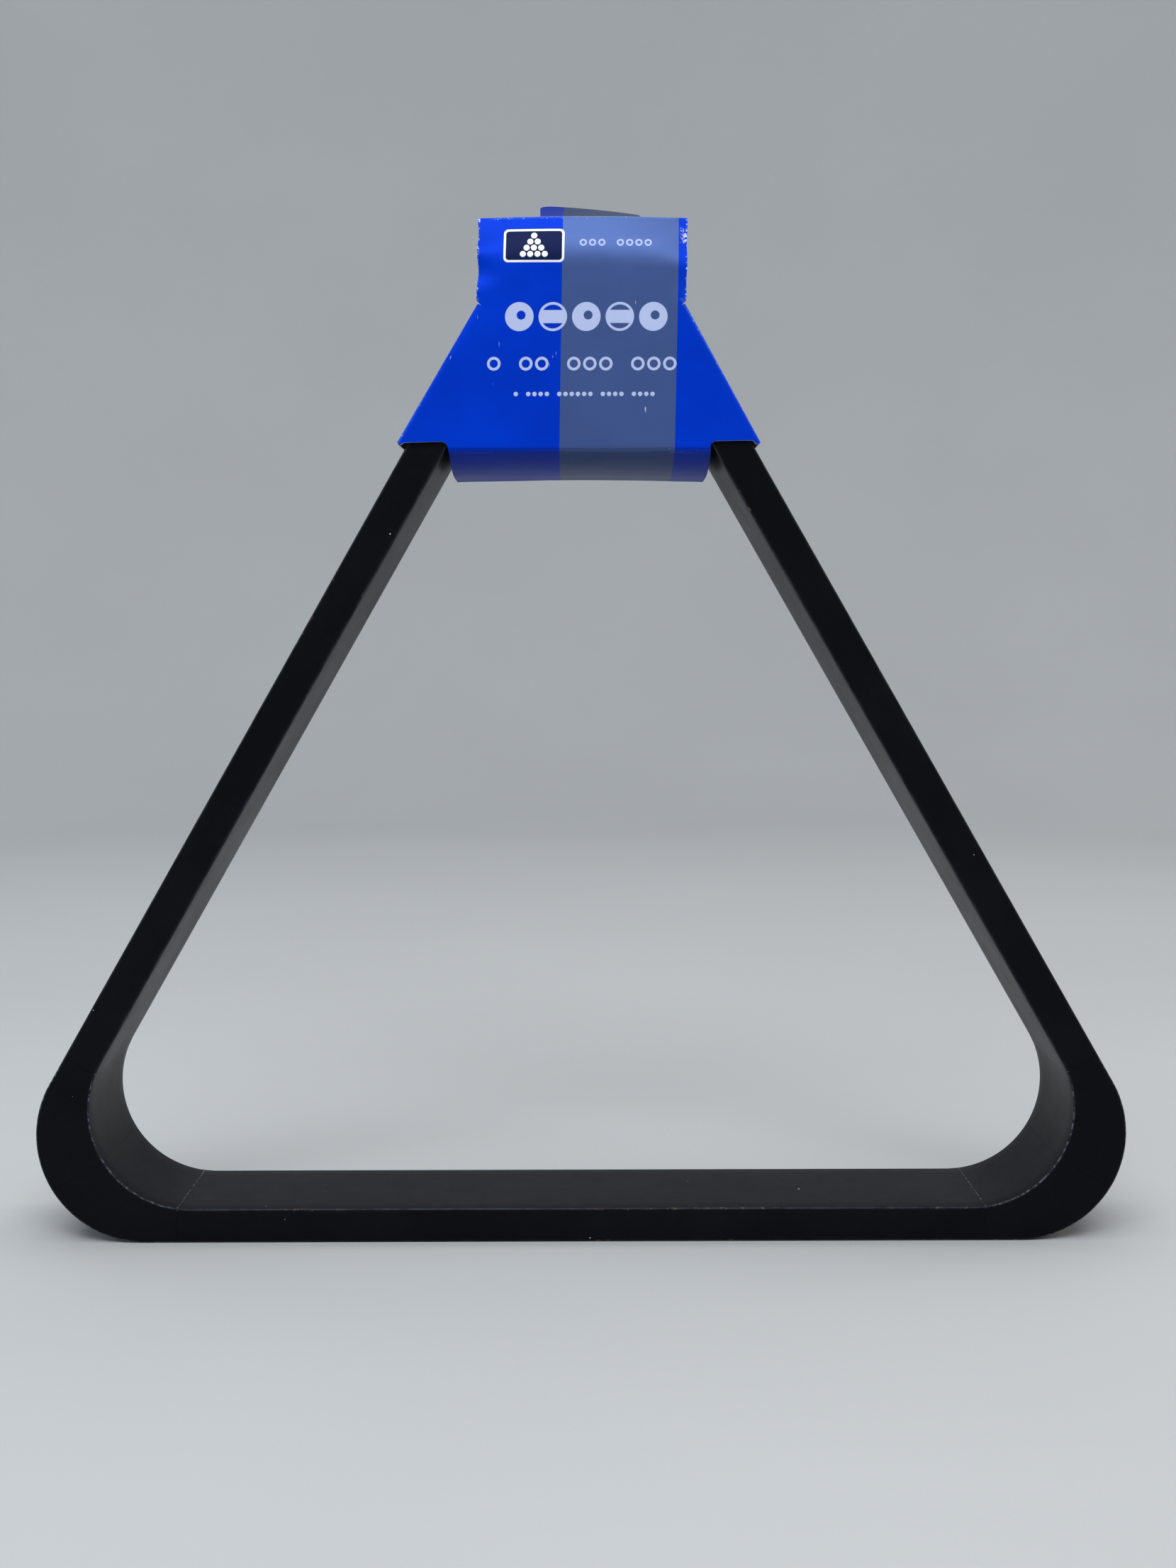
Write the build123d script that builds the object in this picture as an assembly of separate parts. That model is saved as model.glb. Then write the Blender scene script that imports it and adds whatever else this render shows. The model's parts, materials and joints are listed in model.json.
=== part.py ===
from build123d import *
import os
from math import cos, radians, sin, sqrt, tan

# Triangle rack for fifteen pool balls, standing on its base rail, with a folded card sleeve round
# its apex. Millimetres, +Z up, front face towards -Y. The origin is on the surface that the base
# rail stands on, midway along the rail and midway through the rack's depth.

# --- Driving dimensions -------------------------------------------------------------------------

# Opening: five rows of balls
ball_diameter = 57.15
balls_per_side = 5
ball_play = 0.6  # left between the racked balls and each rail
corner_play = 0.4  # by which an inner corner's radius is larger than a ball's

# Rails and corner blocks
rack_depth = 38.1
rail_thickness = 10.1
outer_corner_radius = 31.5
joint_to_bend = 9.3  # from a butt joint to where the outside of the corner starts to turn
edge_ease = 0.6  # rounding of the long edges

# Dowels across the butt joints
dowel_diameter = 6.0
dowel_length = 30.0
dowel_spacing = 19.0
glue_film = 0.05  # round a dowel and on the faces of a spline
dowel_end_room = 0.5

# Splines across the mitres
spline_thickness = 3.0
spline_reach = 7.0  # into each half of a corner
spline_cover = 3.0  # wood left inside and outside a spline

# Card sleeve
card = 0.45
sleeve_gap = 0.35  # between moving card and wood where they come closest
sleeve_reach = 52.8  # from the rack's apex down to the shoulders of the front panel
strip_drop = 7.8  # from the shoulders down to the underside of the strip
strip_side_gap = 1.4  # from the strip's edges to the rails, where it passes between them
strip_bend_radius = 6.0
notch_radius = 1.2
header_width = 58.6
head_room = 10.5  # from the rack's apex up to the sleeve's flat top
top_setback = 3.5  # how far the header leans back to the top fold
fold_stand_off = 2.6  # outer face of a side flap from the rail, at the front fold
lap_width = 8.0  # glue lap of each side flap inside the back panel

# Tongue cut from the sleeve's top
tongue_width = 28.0
tongue_length = 20.0
tongue_offset = 2.2  # its middle is to the right of the sleeve's middle
tongue_corner_radius = 5.0
tongue_raise = 18.0  # degrees, as it stands at rest
tongue_cut = 0.4  # clearance round it in the sleeve's top

# --- Values that follow from them ---------------------------------------------------------------

inner_inradius = (balls_per_side - 1) * ball_diameter / (2 * sqrt(3)) + ball_diameter / 2 + ball_play
outer_inradius = inner_inradius + rail_thickness
rail_middle = (inner_inradius + outer_inradius) / 2
rail_length = 2 * ((outer_inradius - outer_corner_radius) * sqrt(3) - joint_to_bend)
inner_corner_radius = ball_diameter / 2 + corner_play
centre_height = outer_inradius


def apex_reach(inradius, corner_radius):
    """Distance from the centre of a rounded triangle to the outside of its corner."""
    return 2 * (inradius - corner_radius) + corner_radius


apex_height = centre_height + apex_reach(outer_inradius, outer_corner_radius)
half_depth = rack_depth / 2

# Where each rail's ends meet the halves of the corner blocks: side, end, joint
sides = {"base": 0, "left": 120, "right": 240}
joints = [
    ("base", 1, "right_lower"),
    ("base", -1, "left_lower"),
    ("left", 1, "left_upper"),
    ("left", -1, "top_left"),
    ("right", 1, "top_right"),
    ("right", -1, "right_upper"),
]
corners = {
    "top": (0, {-1: "top_left", 1: "top_right"}),
    "right": (120, {-1: "right_upper", 1: "right_lower"}),
    "left": (240, {-1: "left_lower", 1: "left_upper"}),
}

sleeve_half_depth = half_depth + sleeve_gap + 2 * card
shoulder_height = apex_height - sleeve_reach
strip_underside = shoulder_height - strip_drop
sleeve_top = apex_height + head_room
lean_start = apex_height + sleeve_gap
top_half_depth = sleeve_half_depth - top_setback
slope = tan(radians(30))  # half the apex angle

# Widest the strip can be: the opening narrows upwards, and the strip enters it below the bend
bend_room = sleeve_half_depth - half_depth
bend_fall = sqrt(max(strip_bend_radius**2 - (strip_bend_radius - bend_room) ** 2, 0))
strip_entry = strip_underside + strip_bend_radius - bend_fall
strip_half_width = (centre_height + 2 * inner_inradius - strip_entry) * slope - strip_side_gap

tongue_hinge_y = -top_half_depth + card
tongue_hinge_z = sleeve_top - card / 2


# --- Wooden rack --------------------------------------------------------------------------------


def rounded_prism(inradius, corner_radius):
    """Upright triangular prism with round corners, centred on the origin, as deep as the rack."""
    triangle = RegularPolygon(2 * inradius, 3, rotation=90)
    rounded = fillet(triangle.vertices(), corner_radius)
    return extrude(Plane.XZ * rounded, rack_depth / 2, both=True)


def turned(shape, angle):
    """A shape turned round the rack's centre, in the plane of the rack."""
    return Rot(0, angle, 0) * shape


def standing(shape):
    """A shape moved from the rack's centre to its place above the ground."""
    return Pos(0, 0, centre_height) * shape


def rack_ring():
    """The whole wooden ring, with its long edges eased."""
    ring = rounded_prism(outer_inradius, outer_corner_radius)
    ring -= rounded_prism(inner_inradius, inner_corner_radius)
    faces = ring.faces().sort_by(Axis.Y)
    return fillet(faces[0].edges() + faces[-1].edges(), edge_ease)


def rail_space(angle):
    """The block of space between one rail's two butt joints."""
    height = 2 * rail_thickness
    block = Pos(0, 0, -rail_middle) * Box(rail_length, 2 * rack_depth, height)
    return turned(block, angle)


def dowel_at(angle, end, y, radius, length):
    """A cylinder across the butt joint at one end of a rail."""
    rod = Rot(0, 90, 0) * Cylinder(radius, length)
    return turned(Pos(end * rail_length / 2, y, -rail_middle) * rod, angle)


def spline_at(angle, thickness, reach, extra):
    """A plate across the mitre of one corner, inside the wood."""
    low = apex_reach(inner_inradius, inner_corner_radius) + spline_cover - extra
    high = apex_reach(outer_inradius, outer_corner_radius) - spline_cover + extra
    plate = Pos(0, 0, (low + high) / 2) * Box(2 * reach, thickness, high - low)
    return turned(plate, angle)


def half_space(sign, angle):
    """Everything on one side of a corner's mitre."""
    reach = 4 * outer_inradius
    return turned(Pos(sign * reach / 2, 0, reach / 2) * Box(reach, reach, reach), angle)


def rack_parts():
    """Rails, corner halves, dowels and splines, each with its name."""
    ring = rack_ring()
    radius = dowel_diameter / 2
    dowels = {}
    holes = []
    for side, end, joint in joints:
        for place, y in (("front", -dowel_spacing / 2), ("back", dowel_spacing / 2)):
            dowels[f"dowel_{joint}_{place}"] = dowel_at(sides[side], end, y, radius, dowel_length)
            hole_length = dowel_length + 2 * dowel_end_room
            holes.append(dowel_at(sides[side], end, y, radius + glue_film, hole_length))

    splines = {}
    slots = []
    for corner, (angle, _) in corners.items():
        splines[f"spline_{corner}"] = spline_at(angle, spline_thickness, spline_reach, 0)
        slot_thickness = spline_thickness + 2 * glue_film
        slots.append(spline_at(angle, slot_thickness, spline_reach + glue_film, glue_film))

    bored = ring
    for cutter in holes + slots:
        bored -= cutter

    wood = {}
    blocks = bored
    for side, angle in sides.items():
        wood[f"rail_{side}"] = bored & rail_space(angle)
        blocks -= rail_space(angle)
    for angle, halves in corners.values():
        for sign, half in halves.items():
            own = blocks & half_space(sign, angle)
            reach = turned(Pos(0, 0, 2 * outer_inradius) * Box(*[2.2 * outer_inradius] * 3), angle)
            wood[f"corner_{half}"] = own & reach
    return {name: standing(shape) for name, shape in (wood | dowels | splines).items()}


# --- Card sleeve --------------------------------------------------------------------------------


def panel_outline(stand_off):
    """Outline of the front or back panel, header and strip, seen from the front."""
    tip = centre_height + 2 * (outer_inradius + stand_off)
    half_header = header_width / 2
    corner_height = tip - half_header / slope
    shoulder_x = (tip - shoulder_height) * slope
    right = [
        (half_header, sleeve_top + card),
        (half_header, corner_height),
        (shoulder_x, shoulder_height),
        (strip_half_width, shoulder_height),
        (strip_half_width, strip_underside - card),
    ]
    left = [(-x, z) for x, z in reversed(right)]
    outline = Polygon(*right, *left, align=None)
    notch = outline.vertices().filter_by(
        lambda v: abs(abs(v.X) - strip_half_width) < 0.01 and abs(v.Y - shoulder_height) < 0.01
    )
    return fillet(notch, notch_radius)


def header_corner_height():
    """Height at which the slanted folds meet the sides of the header."""
    return centre_height + 2 * (outer_inradius + fold_stand_off) - header_width / 2 / slope


def card_loop():
    """The band of card that runs over the apex and back through the opening."""
    side = Polygon(
        (-sleeve_half_depth, strip_underside),
        (-sleeve_half_depth, lean_start),
        (-top_half_depth, sleeve_top),
        (top_half_depth, sleeve_top),
        (sleeve_half_depth, lean_start),
        (sleeve_half_depth, strip_underside),
        align=None,
    )
    side = fillet(side.vertices().sort_by(Axis.Y)[:2], strip_bend_radius)
    band = side - offset(side, -card)
    wide = 4 * header_width
    loop = extrude(Plane.YZ * band, wide, both=True)
    front = extrude(Plane.XZ * panel_outline(fold_stand_off), 2 * rack_depth)
    back = extrude(Plane.XZ * panel_outline(sleeve_gap + card), -2 * rack_depth)
    return (loop & front) + (loop & back)


def side_flap(sign):
    """A flap round the outside of one rail, with its glue lap inside the back panel."""
    lean = radians(30)
    normal = Vector(sign * cos(lean), 0, sin(lean))
    along = Vector(-sign * sin(lean), 0, cos(lean))
    foot = Vector(0, 0, centre_height) + normal * outer_inradius
    section_plane = Plane(origin=foot, x_dir=normal, z_dir=along)
    depth_sign = 1 if section_plane.y_dir.Y > 0 else -1
    back_off = sleeve_gap + card
    back = sleeve_half_depth
    flap = Polygon(
        (fold_stand_off, -back * depth_sign),
        (back_off, back * depth_sign),
        (back_off - card, back * depth_sign),
        (fold_stand_off - card, -back * depth_sign),
        align=None,
    )
    lap_middle = depth_sign * (back - 1.5 * card)
    lap = Pos(back_off - lap_width / 2, lap_middle) * Rectangle(lap_width, card)
    strip = extrude(section_plane * (flap + lap), 2 * outer_inradius, both=True)
    low, high = shoulder_height, header_corner_height()
    wide = 2 * (apex_height + header_width)
    limits = Pos(0, 0, (low + high) / 2) * Box(wide, wide, high - low)
    half = Pos(sign * wide / 2, 0, 0) * Box(wide, wide, 2 * wide)
    return strip & limits & half


def tongue_plan(grow):
    """Plan of the tongue with its hinge edge on the X axis, grown all round by a clearance."""
    width = tongue_width + 2 * grow
    length = tongue_length + grow
    plan = Pos(tongue_offset, length / 2) * Rectangle(width, length)
    return fillet(plan.vertices().sort_by(Axis.Y)[-2:], tongue_corner_radius + grow)


def card_sleeve():
    """The whole folded sleeve, with the window that the tongue leaves in its top."""
    sleeve = card_loop() + side_flap(1) + side_flap(-1)
    window = extrude(tongue_plan(tongue_cut), 2 * card, both=True)
    return sleeve - Pos(0, tongue_hinge_y, tongue_hinge_z) * window


def top_tongue():
    """The tongue, raised on its crease behind the top fold."""
    root = Pos(tongue_offset, 0) * Rectangle(2 * tongue_width, 2 * sleeve_gap)
    leaf = extrude(tongue_plan(0) - root, card / 2, both=True)
    return Pos(0, tongue_hinge_y, tongue_hinge_z) * Rot(tongue_raise, 0, 0) * leaf


# --- Files --------------------------------------------------------------------------------------

parts = rack_parts()
parts["card_sleeve"] = card_sleeve()
parts["top_tongue"] = top_tongue()

os.makedirs("parts", exist_ok=True)
for node, shape in parts.items():
    export_step(shape, f"parts/{node}.step")
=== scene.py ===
"""The look of a triangle rack for pool balls: painted wood, a folded printed card sleeve and its tongue.

Lengths in this file are in millimetres unless a name says metres, and every mesh is made in metres.
"""

import json
import math

import bpy
from bpy.props import FloatProperty, FloatVectorProperty, PointerProperty
from mathutils import Matrix, Vector, noise
from mathutils.geometry import delaunay_2d_cdt


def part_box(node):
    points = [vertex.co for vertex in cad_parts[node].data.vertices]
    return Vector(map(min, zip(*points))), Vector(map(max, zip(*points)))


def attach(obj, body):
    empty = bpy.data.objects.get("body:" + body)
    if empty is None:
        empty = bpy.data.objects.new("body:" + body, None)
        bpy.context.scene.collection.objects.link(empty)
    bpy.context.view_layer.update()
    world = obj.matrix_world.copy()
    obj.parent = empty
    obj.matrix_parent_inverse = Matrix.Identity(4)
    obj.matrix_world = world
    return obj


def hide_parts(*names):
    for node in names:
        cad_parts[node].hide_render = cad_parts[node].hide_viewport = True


bl_info = {
    "name": "Triangle Rack",
    "version": (1, 0, 0),
    "blender": (4, 5, 0),
    "location": "View3D > Sidebar > Rack",
    "description": "Builds a painted triangle rack with a printed card sleeve",
    "category": "Object",
}

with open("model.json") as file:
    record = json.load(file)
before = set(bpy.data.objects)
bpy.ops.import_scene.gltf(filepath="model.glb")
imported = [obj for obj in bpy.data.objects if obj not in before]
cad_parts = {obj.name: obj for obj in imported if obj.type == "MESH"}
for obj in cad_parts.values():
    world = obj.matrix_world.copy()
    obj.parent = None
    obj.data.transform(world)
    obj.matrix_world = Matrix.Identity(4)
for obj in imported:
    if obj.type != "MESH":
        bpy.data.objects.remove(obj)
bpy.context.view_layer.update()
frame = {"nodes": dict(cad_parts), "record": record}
MM = 0.001


def corner_mm(node, which):
    """The low (0) or high (1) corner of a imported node, in millimetres."""
    return Vector(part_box(node)[which]) / MM


RAIL_LENGTH = 2 * corner_mm("rail_base", 1).x
RACK_DEPTH = 2 * corner_mm("rail_base", 1).y
APEX_HEIGHT = corner_mm("corner_top_left", 1).z
SLEEVE_FRONT = corner_mm("card_sleeve", 0).y
SLEEVE_BACK = corner_mm("card_sleeve", 1).y
SLEEVE_TOP = corner_mm("card_sleeve", 1).z
STRIP_UNDERSIDE = corner_mm("card_sleeve", 0).z
TONGUE_LEFT = corner_mm("top_tongue", 0).x
TONGUE_RIGHT = corner_mm("top_tongue", 1).x
TONGUE_FOLD = next(j for j in frame["record"]["behaviour"]["joints"] if j["name"] == "tongue_fold")
HINGE = Vector(TONGUE_FOLD["pos_m"]) / MM

LEAN = math.radians(30)  # of the side rails from the upright
SKEW_HEIGHT = SLEEVE_TOP - 47  # where the front panel hasn't slid sideways
WAVE_ROOM = 0.12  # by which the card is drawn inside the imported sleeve, for its waves
APEX_GAP = 0.35  # between the card and the rack's apex
GLUE = 0.05  # between two glued layers of card
CREASE_RISE = 6.2  # of the strip's crease over its underside
MESH_STEP = 1.25  # between the vertices of the sleeve
BEND_STEP = 0.32  # between the rows of vertices in a fold
RIM_CLEAR = 0.35  # between a cut edge and the nearest inner vertex
WINDOW_GAP = 0.35  # round the tongue in the sleeve's top

SIDES = {"base": 0, "left": 120, "right": 240}
CORNER_HALVES = {
    "right_lower": ("base", 1),
    "left_lower": ("base", -1),
    "left_upper": ("left", 1),
    "top_left": ("left", -1),
    "top_right": ("right", 1),
    "right_upper": ("right", -1),
}
PLACES = ("front", "back")
CORNERS = ("top", "right", "left")

# Linear colours of wear, dust, painted highlights along edges and folds, and the badge's rim
PAINTED_EDGE_HIGHLIGHT = (0.052, 0.062, 0.085)
CORNER_WEAR_AND_HIGHLIGHT = (0.22, 0.26, 0.32)
DUST = (0.55, 0.55, 0.52)
JOINT_DUST = (0.30, 0.31, 0.33)
PAINTED_FOLD_HIGHLIGHT = (0.10, 0.30, 0.95)
SCUFFED_CARD = (0.78, 0.82, 0.88)
BADGE_PALE = (0.80, 0.82, 0.86)


# --- Settings -----------------------------------------------------------------------------------


def length(name, description, default, **more):
    """A length in millimetres, as a property."""
    return FloatProperty(name=name, description=description, default=default, min=0, **more)


def colour(name, description, default):
    """A linear colour, as a property."""
    return FloatVectorProperty(
        name=name, description=description, default=default, subtype="COLOR", size=3, min=0, max=1
    )


class WoodSettings(bpy.types.PropertyGroup):
    """Sizes and finish of the painted wood."""

    ball_diameter: length("Ball diameter", "Diameter of the balls, mm", 57.15)
    ball_play: length("Ball play", "Room between the racked balls and each rail, mm", 0.6)
    corner_play: length("Corner play", "Inner corner radius over a ball's radius, mm", 0.4)
    rail_thickness: length("Rail thickness", "Thickness of the rails, mm", 10.1)
    outer_radius: length("Outer radius", "Radius of the outside corners, mm", 31.5)
    edge_ease: length("Eased edges", "Rounding of the long edges, mm", 0.6)
    seam: length("Seam", "Depth of the fine groove along each glued joint, mm", 0.05)
    # Near-black paint colour; its navy tint is a painted reflection of a bluish surround
    paint: colour("Paint", "Colour of the paint", (0.0009, 0.0014, 0.0030))
    bloom: colour("Bloom", "Colour of the thin haze on the paint", (0.0055, 0.0062, 0.0080))
    bare: colour("Bare wood", "Colour of the wood where the paint is chipped", (0.21, 0.13, 0.075))
    beech: colour("Beech", "Colour of the dowels and splines", (0.55, 0.36, 0.2))


class CardSettings(bpy.types.PropertyGroup):
    """Sizes and print of the card sleeve."""

    thickness: length("Thickness", "Thickness of the card, mm", 0.45)
    header_width: length("Header width", "Width of the header, mm", 58.6)
    strip_width: length("Strip width", "Width of the strip through the opening, mm", 74.2)
    shoulder_drop: length("Shoulder drop", "From the apex down to the shoulders, mm", 52.8)
    front_stand_off: length("Front stand-off", "Front fold of a flap from the rail, mm", 2.6)
    back_stand_off: length("Back stand-off", "Back fold of a flap from the rail, mm", 0.8)
    top_setback: length("Top setback", "How far the header leans back, mm", 3.5)
    header_curl: length("Header curl", "How much further its sides lean back, mm", 2.0)
    lap: length("Lap", "Glue lap of each flap inside the back panel, mm", 8.0)
    waviness: length("Waviness", "Height of the soft waves in the card, mm", 0.15)
    skew: FloatProperty(
        name="Skew",
        description="How far the front panel slides sideways for each mm of height",
        default=0.0226,
    )
    tongue_length: length("Tongue length", "Length of the tongue, mm", 20.0)
    tongue_twist: FloatProperty(
        name="Tongue twist",
        description="Lift of the tongue's left edge over its right edge",
        default=math.radians(7),
        subtype="ANGLE",
    )
    blue: colour("Blue", "Colour of the printed field", (0.0, 0.040, 0.61))
    grey: colour("Grey", "Colour of the printed band", (0.062, 0.108, 0.30))
    ink: colour("Pale ink", "Colour of the printed marks", (0.46, 0.54, 0.82))
    badge: colour("Badge", "Colour of the badge's field", (0.006, 0.012, 0.06))
    board: colour("Board", "Colour of the card's back and core", (0.52, 0.50, 0.46))


class StageSettings(bpy.types.PropertyGroup):
    """Floor, light and camera."""

    floor: colour("Floor", "Colour of the floor and backdrop", (0.45, 0.475, 0.50))
    sky: colour("Sky", "Colour of the even light all round", (0.72, 0.80, 0.92))
    sky_strength: FloatProperty(
        name="Sky strength", description="Strength of the even light", default=0.2, min=0
    )
    camera_distance: FloatProperty(
        name="Camera distance",
        description="From the middle of the rack to the camera, in metres",
        default=0.5148,
        unit="LENGTH",
    )
    camera_height: FloatProperty(
        name="Camera height",
        description="Height of the camera over the floor, in metres",
        default=0.1741,
        unit="LENGTH",
    )
    lens: FloatProperty(
        name="Lens", description="Focal length on a 36 mm high frame, mm", default=39.75
    )


# --- Shader maths -------------------------------------------------------------------------------


class Socket:
    """An output socket that can be used in arithmetic, which adds Math nodes to its tree."""

    def __init__(self, shader, output):
        self.shader = shader
        self.output = output

    def __add__(self, other):
        return self.shader.math("ADD", self, other)

    def __sub__(self, other):
        return self.shader.math("SUBTRACT", self, other)

    def __rsub__(self, other):
        return self.shader.math("SUBTRACT", other, self)

    def __mul__(self, other):
        return self.shader.math("MULTIPLY", self, other)

    def __gt__(self, other):
        return self.shader.math("GREATER_THAN", self, other)

    def __lt__(self, other):
        return self.shader.math("LESS_THAN", self, other)

    def __abs__(self):
        return self.shader.math("ABSOLUTE", self)

    def min(self, other):
        return self.shader.math("MINIMUM", self, other)

    def max(self, other):
        return self.shader.math("MAXIMUM", self, other)

    def root(self):
        return self.shader.math("SQRT", self)

    def wrap(self, low, high):
        return self.shader.math("WRAP", self, high, low)

    def ramp(self, low, high):
        """0 below low, 1 above high, and a straight line between them."""
        return self.shader.node(
            "ShaderNodeMapRange",
            {"clamp": True},
            {"Value": self, "From Min": low, "From Max": high, "To Min": 0.0, "To Max": 1.0},
        )

    __radd__ = __add__
    __rmul__ = __mul__


class Shader:
    """One material and its Principled shader."""

    def __init__(self, name):
        self.material = bpy.data.materials.new(name)
        self.material.use_nodes = True
        self.tree = self.material.node_tree
        self.tree.nodes.clear()
        self.surface = self.tree.nodes.new("ShaderNodeBsdfPrincipled")
        output = self.tree.nodes.new("ShaderNodeOutputMaterial")
        self.tree.links.new(self.surface.outputs[0], output.inputs["Surface"])

    def set(self, socket, value):
        """Links a socket's value, or sets it where it is a plain number or colour."""
        if isinstance(value, Socket):
            self.tree.links.new(value.output, socket)
        elif hasattr(socket.default_value, "__len__") and len(socket.default_value) == 4:
            socket.default_value = (*value, 1.0) if len(value) == 3 else value
        else:
            socket.default_value = value

    def node(self, kind, settings=None, values=None, output=0):
        """Adds a node with its settings, gives its sockets their values, and returns an output."""
        made = self.tree.nodes.new(kind)
        for key, setting in (settings or {}).items():
            setattr(made, key, setting)
        for key, value in (values or {}).items():
            self.set(made.inputs[key], value)
        return Socket(self, made.outputs[output])

    def math(self, operation, *values):
        return self.node("ShaderNodeMath", {"operation": operation}, dict(enumerate(values)))

    def vector(self, operation, *values):
        return self.node("ShaderNodeVectorMath", {"operation": operation}, dict(enumerate(values)))

    def mix(self, factor, a, b):
        """One colour turning into another."""
        values = {0: factor, 6: a, 7: b}
        return self.node("ShaderNodeMix", {"data_type": "RGBA"}, values, output=2)

    def noise(self, where, scale, detail=2.0, roughness=0.5):
        values = {"Vector": where, "Scale": scale, "Detail": detail, "Roughness": roughness}
        return self.node("ShaderNodeTexNoise", None, values)

    def spots(self, where, scale):
        """Distance from the nearest of many scattered points."""
        values = {"Vector": where, "Scale": scale}
        return self.node("ShaderNodeTexVoronoi", {"feature": "F1"}, values, "Distance")

    def place(self):
        """The point on the object, in millimetres."""
        here = self.node("ShaderNodeTexCoord", output="Object")
        return self.vector("MULTIPLY", here, (1 / MM,) * 3)

    def turned(self, where, angle):
        """The point turned about the Y axis, in degrees."""
        settings = {"rotation_type": "Y_AXIS"}
        return self.node(
            "ShaderNodeVectorRotate", settings, {"Vector": where, "Angle": math.radians(angle)}
        )

    def xyz(self, where):
        """The three coordinates of a point."""
        made = self.node("ShaderNodeSeparateXYZ", None, {0: where}).output.node
        return [Socket(self, out) for out in made.outputs]

    def bump(self, height, distance):
        """A normal from a height of 0 to 1, whose full rise is the distance in millimetres."""
        values = {"Height": height, "Distance": distance * MM, "Strength": 1.0}
        return self.node("ShaderNodeBump", None, values)

    def finish(self, **values):
        """Gives the Principled shader its values and returns the material."""
        for key, value in values.items():
            self.set(self.surface.inputs[key.replace("_", " ")], value)
        return self.material


# --- Materials ----------------------------------------------------------------------------------


def tinted(tone, factor):
    """A colour made darker or lighter."""
    return tuple(min(1, factor * c) for c in tone)


def rounded_distance(along, out, inradius, corner_radius):
    """How far a point is outside one side of a rounded triangle and its two corners."""
    straight = (inradius - corner_radius) * math.sqrt(3)
    past = (abs(along) - straight).max(0)
    off = (out - (inradius - corner_radius)).max(0)
    return (past * past + off * off).root() - corner_radius


def paint(side, angle, wood):
    """Satin black paint over close grain that runs along one side of the rack, with painted highlights
    along its edges.
    """
    shader = Shader(f"black_paint_{side}")
    here = shader.place()
    centred = shader.vector("SUBTRACT", here, (0, 0, rack_centre(wood)))
    local = shader.turned(centred, angle)
    along, through, up = shader.xyz(local)
    outer = rounded_distance(along, up * -1, outer_inradius(wood), wood.outer_radius)
    inner = rounded_distance(along, up * -1, inner_inradius(wood), inner_radius(wood))
    face = RACK_DEPTH / 2 - abs(through)
    near_edge = (outer * outer + face * face).root().min((inner * inner + face * face).root())

    stretched = shader.vector("MULTIPLY", local, (0.035, 1.0, 1.0))
    grain = shader.noise(stretched, 1.6, 3.0, 0.6)
    warp = shader.noise(here, 0.03, 1.0)
    pores = shader.noise(stretched, 5.0, 2.0, 0.7).ramp(0.60, 0.74)
    peel = shader.noise(here, 0.9, 2.0)
    cloud = shader.noise(here, 0.035, 4.0, 0.6)
    rub = shader.noise(here, 0.16, 3.0, 0.7)

    dust_cell = shader.spots(here, 0.16)
    dust_size = shader.noise(here, 0.05).ramp(0.45, 0.8) * 0.075
    dust = (dust_cell < dust_size) * shader.noise(here, 1.7).ramp(0.42, 0.5)
    chip_noise = shader.noise(here, 0.55, 3.0, 0.7)
    sparse = shader.noise(here, 0.028, 1.0).ramp(0.62, 0.74)
    chip = (1 - near_edge.ramp(0.15, 0.8)) * chip_noise.ramp(0.58, 0.64) * sparse
    worn = (1 - near_edge.ramp(0.2, 1.4)) * rub.ramp(0.35, 0.7)

    on_joint = 1 - abs(abs(along) - RAIL_LENGTH / 2).ramp(0.05, 0.22)
    inside_face = 1 - abs(inner).ramp(0.2, 0.9)
    joint_dust = on_joint * inside_face * shader.noise(here, 1.1, 2.0).ramp(0.47, 0.60)
    # Painted highlight: lighter bluish lines along every eased edge, where light would catch them
    painted_edge_highlight = (1 - near_edge.ramp(0.1, 0.6)) * (rub.ramp(0.35, 0.65) * 0.5 + 0.2)
    # Worn paint and painted highlight: pale bluish patches along the inner edges of the corner blocks
    on_corner = (abs(along) - RAIL_LENGTH / 2).ramp(0, 4)
    patches = shader.noise(here, 0.8, 2.0).ramp(0.5, 0.58)
    corner_wear_and_highlight = (1 - near_edge.ramp(0.1, 0.5)) * on_corner * patches

    haze = cloud.ramp(0.42, 0.72) * 0.35 + worn * 0.5 + grain.ramp(0.45, 0.8) * 0.12
    base = shader.mix(haze.min(1), tuple(wood.paint), tuple(wood.bloom))
    base = shader.mix(painted_edge_highlight, base, PAINTED_EDGE_HIGHLIGHT)
    base = shader.mix(corner_wear_and_highlight * 0.6, base, CORNER_WEAR_AND_HIGHLIGHT)
    base = shader.mix(dust, base, DUST)
    base = shader.mix(joint_dust * 0.55, base, JOINT_DUST)
    base = shader.mix(chip, base, tuple(wood.bare))
    rough = cloud * 0.14 + rub * 0.08 - worn * 0.06 + 0.27 + chip * 0.4
    height = grain * 0.30 + peel * 0.30 - pores * 0.35 - chip * 1.2 + dust * 0.6 + warp * 2.5
    return shader.finish(
        Base_Color=base, Roughness=rough, Normal=shader.bump(height, 0.05), Specular_IOR_Level=0.09
    )


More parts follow.
